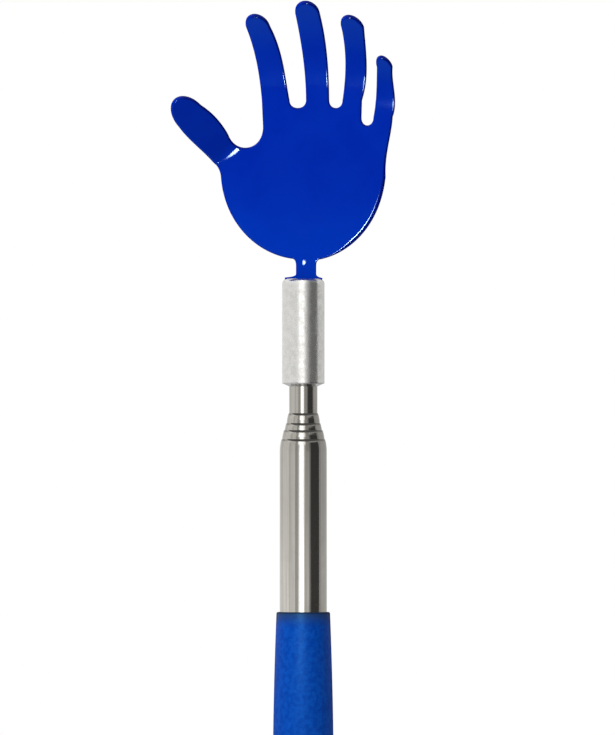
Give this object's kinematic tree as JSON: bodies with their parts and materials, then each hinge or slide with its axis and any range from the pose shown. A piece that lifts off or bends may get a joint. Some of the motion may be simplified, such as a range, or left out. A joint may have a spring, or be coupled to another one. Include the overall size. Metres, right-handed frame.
{
  "type": "telescopic back scratcher",
  "caption": "Telescopic back scratcher: enamelled sheet-metal hand with curled fingers on nested steel tubes that slide and turn, with a soft rubber grip.",
  "frame": {"origin": "centre of the grip's flat end face, on the shaft's axis", "axes": "+Z along the shaft from grip to hand, palm and curled fingers face -Y, thumb points to -X"},
  "size_m": [0.0476, 0.0155, 0.2247],
  "materials": {
    "grip_rubber": "matte moulded rubber",
    "plug_nylon": "moulded nylon",
    "tube_steel": "drawn and polished stainless steel",
    "collar_bronze": "rolled phosphor bronze strip",
    "ferrule_aluminium": "turned satin aluminium",
    "hand_enamel": "gloss blue enamel on steel sheet"
  },
  "bodies": {
    "handle": {"grip": "grip_rubber", "end_plug": "plug_nylon", "outer_tube": "tube_steel"},
    "second_slider": {"second_collar": "collar_bronze"},
    "second_stage": {"second_tube": "tube_steel"},
    "third_slider": {"third_collar": "collar_bronze"},
    "third_stage": {"third_tube": "tube_steel"},
    "fourth_slider": {"fourth_collar": "collar_bronze"},
    "fourth_stage": {"fourth_tube": "tube_steel"},
    "tip_slider": {"tip_collar": "collar_bronze"},
    "head": {"tip_tube": "tube_steel", "ferrule": "ferrule_aluminium", "hand": "hand_enamel"}
  },
  "joints": [
    {"name": "second_slide", "type": "slide", "parent": "handle", "child": "second_slider", "axis": [0, 0, 1], "range_m": [0, 0.1085]},
    {"name": "second_turn", "type": "hinge", "parent": "second_slider", "child": "second_stage", "pos_m": [0, 0, 0.0155], "axis": [0, 0, 1], "continuous": true},
    {"name": "third_slide", "type": "slide", "parent": "second_stage", "child": "third_slider", "axis": [0, 0, 1], "range_m": [0, 0.1105]},
    {"name": "third_turn", "type": "hinge", "parent": "third_slider", "child": "third_stage", "pos_m": [0, 0, 0.0155], "axis": [0, 0, 1], "continuous": true},
    {"name": "fourth_slide", "type": "slide", "parent": "third_stage", "child": "fourth_slider", "axis": [0, 0, 1], "range_m": [0, 0.112]},
    {"name": "fourth_turn", "type": "hinge", "parent": "fourth_slider", "child": "fourth_stage", "pos_m": [0, 0, 0.0155], "axis": [0, 0, 1], "continuous": true},
    {"name": "tip_slide", "type": "slide", "parent": "fourth_stage", "child": "tip_slider", "axis": [0, 0, 1], "range_m": [0, 0.114]},
    {"name": "tip_turn", "type": "hinge", "parent": "tip_slider", "child": "head", "pos_m": [0, 0, 0.0155], "axis": [0, 0, 1], "continuous": true}
  ]
}
